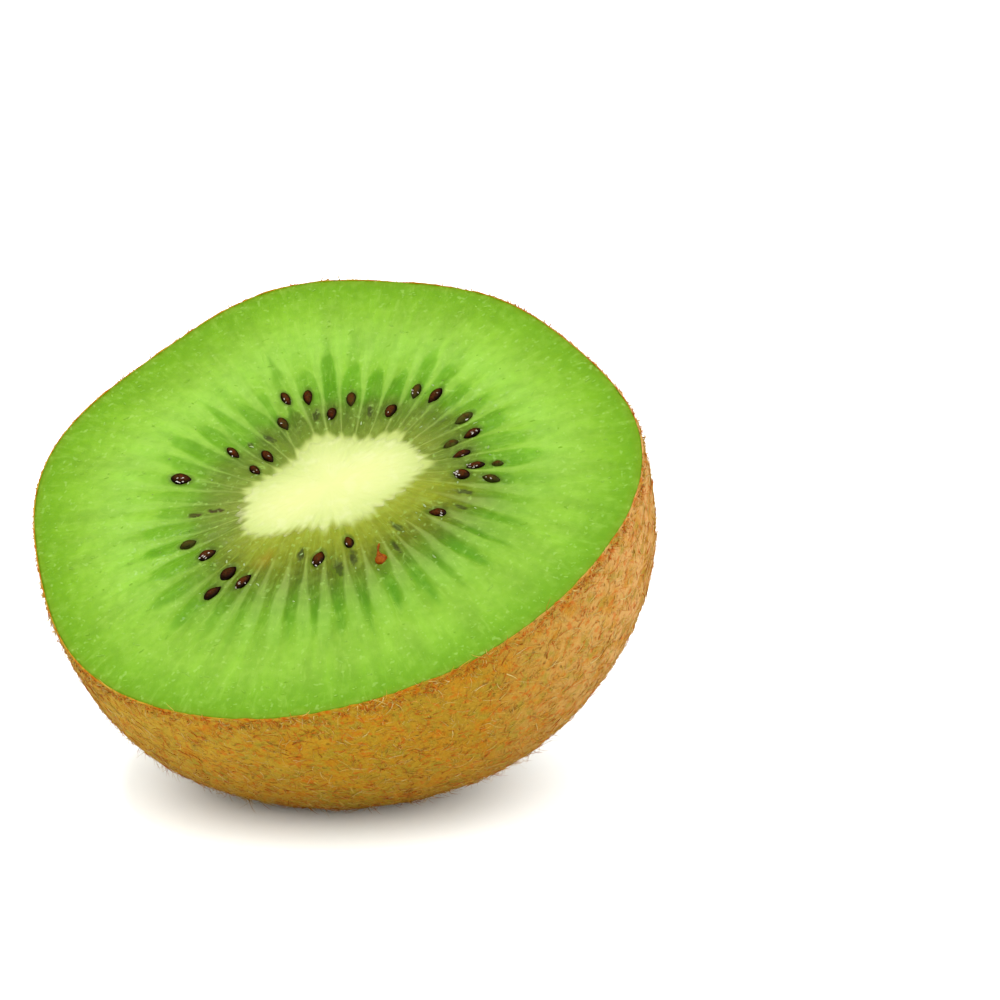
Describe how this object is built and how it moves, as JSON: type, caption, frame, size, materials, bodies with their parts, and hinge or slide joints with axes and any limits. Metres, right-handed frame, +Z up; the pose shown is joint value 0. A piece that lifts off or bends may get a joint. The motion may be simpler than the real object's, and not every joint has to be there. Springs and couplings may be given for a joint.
{
  "type": "kiwi fruit half",
  "caption": "Half of a fuzzy brown-skinned green fruit, cut across, lying tipped back on its round skin with the seedy green cut face up.",
  "frame": {"origin": "middle of the small flat spot that the half rests on", "axes": "+Z up, +X along the cut face's longer way, and the cut face looks up and towards -Y, turned a little towards -X"},
  "size_m": [0.0563, 0.0497, 0.0441],
  "materials": {
    "flesh": "wet, translucent green flesh, darker in the seed pockets and under the skin",
    "core": "moist, pale cream-green",
    "skin": "dry, thin brown skin with short fuzz",
    "seed": "wet, glossy, near-black brown"
  },
  "bodies": {
    "root": {"flesh": "flesh", "core": "core"}
  },
  "joints": []
}
